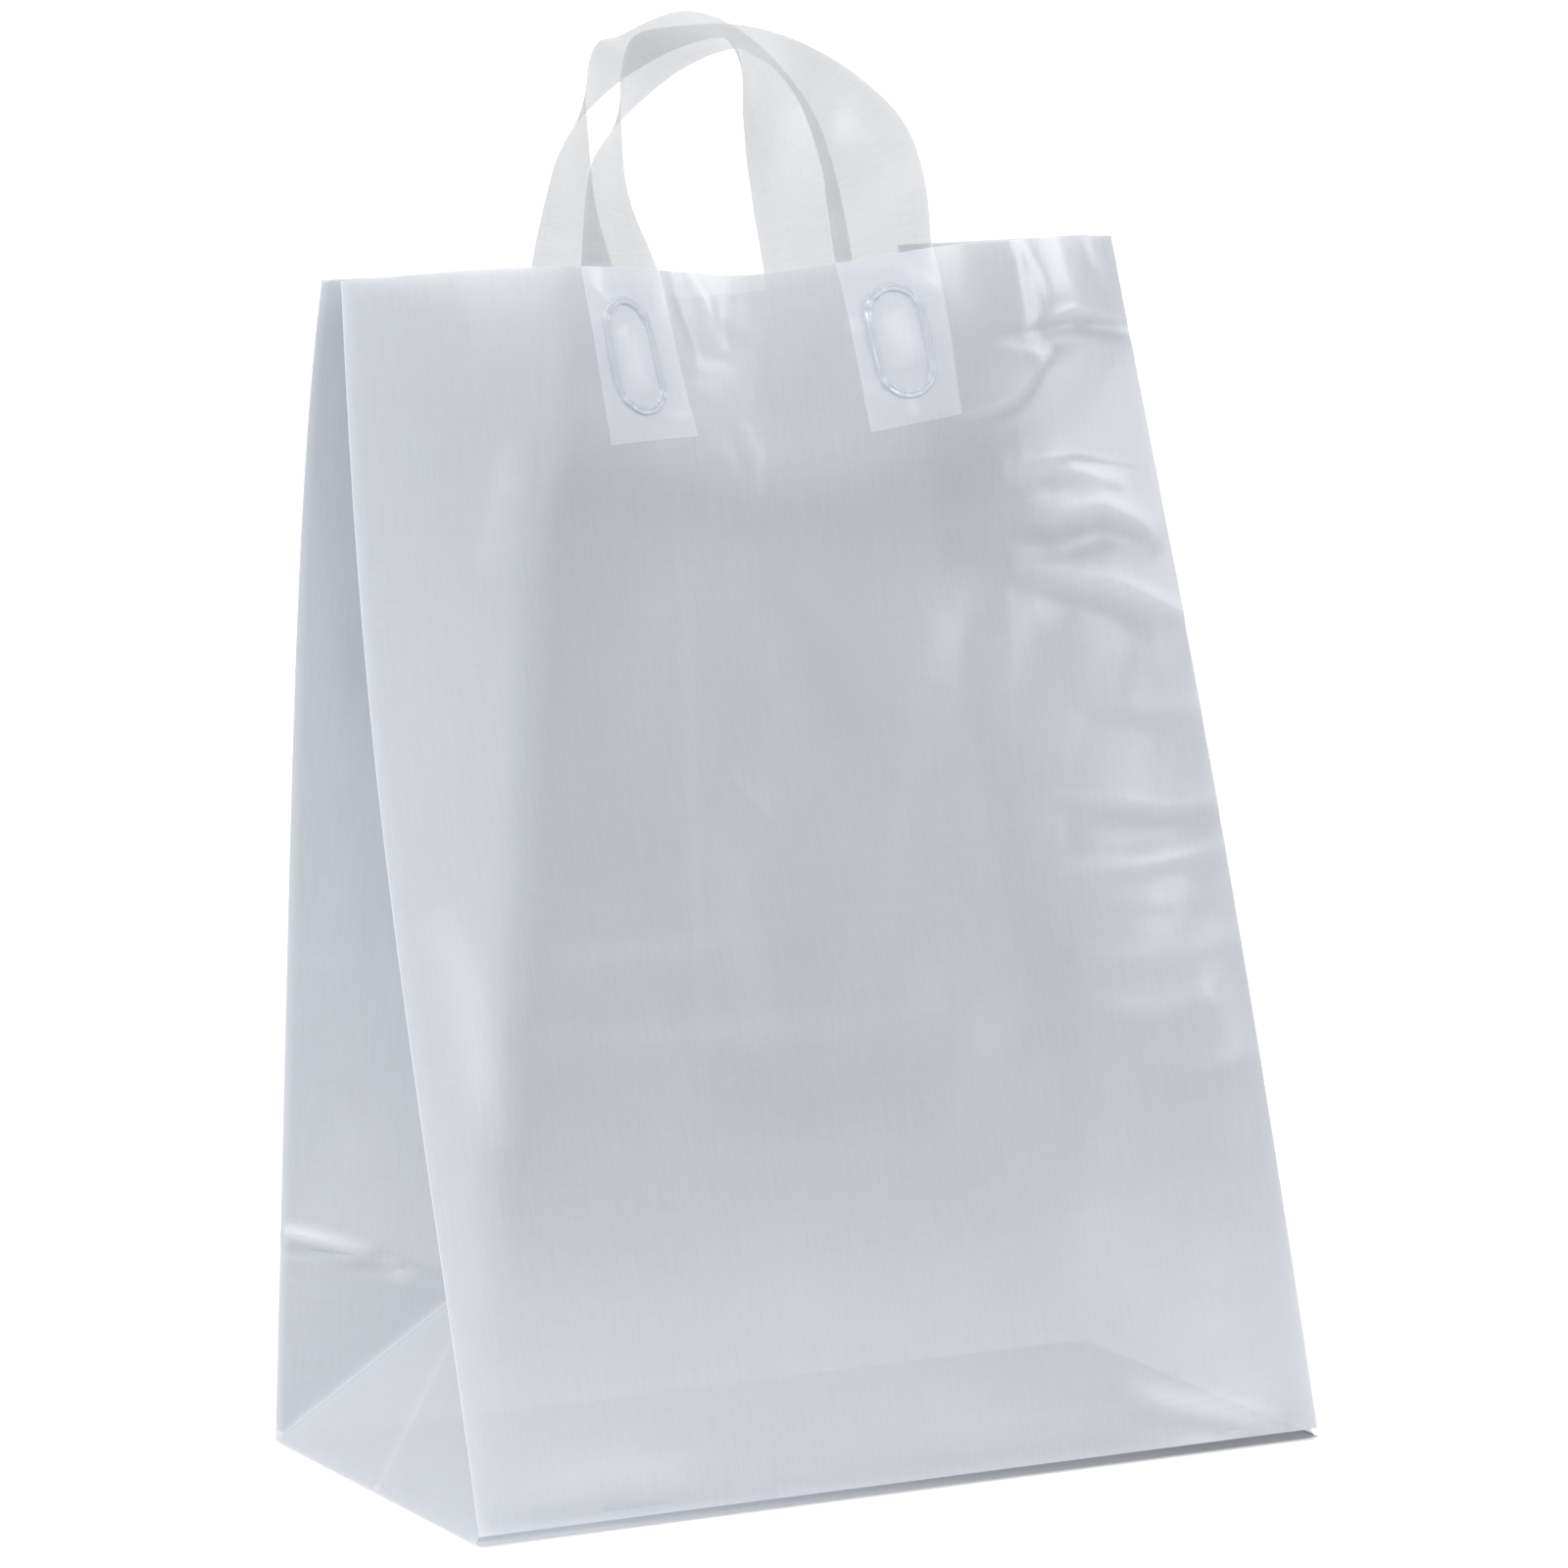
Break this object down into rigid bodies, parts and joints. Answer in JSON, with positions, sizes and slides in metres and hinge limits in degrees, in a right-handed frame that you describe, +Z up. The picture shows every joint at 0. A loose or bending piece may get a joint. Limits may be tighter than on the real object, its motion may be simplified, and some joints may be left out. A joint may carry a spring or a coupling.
{
  "type": "plastic carrier bag",
  "caption": "Frosted film carrier bag with side gussets and soft loop handles welded inside its mouth; stands open on a folded base and carries goods by hand",
  "frame": {"origin": "middle of the flat base, on the surface the bag stands on", "axes": "+Z up, +X along the bag's width toward the picture's right, -Y out of the front panel"},
  "size_m": [0.33, 0.1871, 0.5],
  "materials": {
    "bag_film": "frosted translucent film with a soft sheen",
    "loop_film": "frosted translucent film, smooth and slightly glossy"
  },
  "bodies": {
    "root": {"bag_body": "bag_film", "front_loop_handle": "loop_film", "rear_loop_handle": "loop_film"}
  },
  "joints": []
}
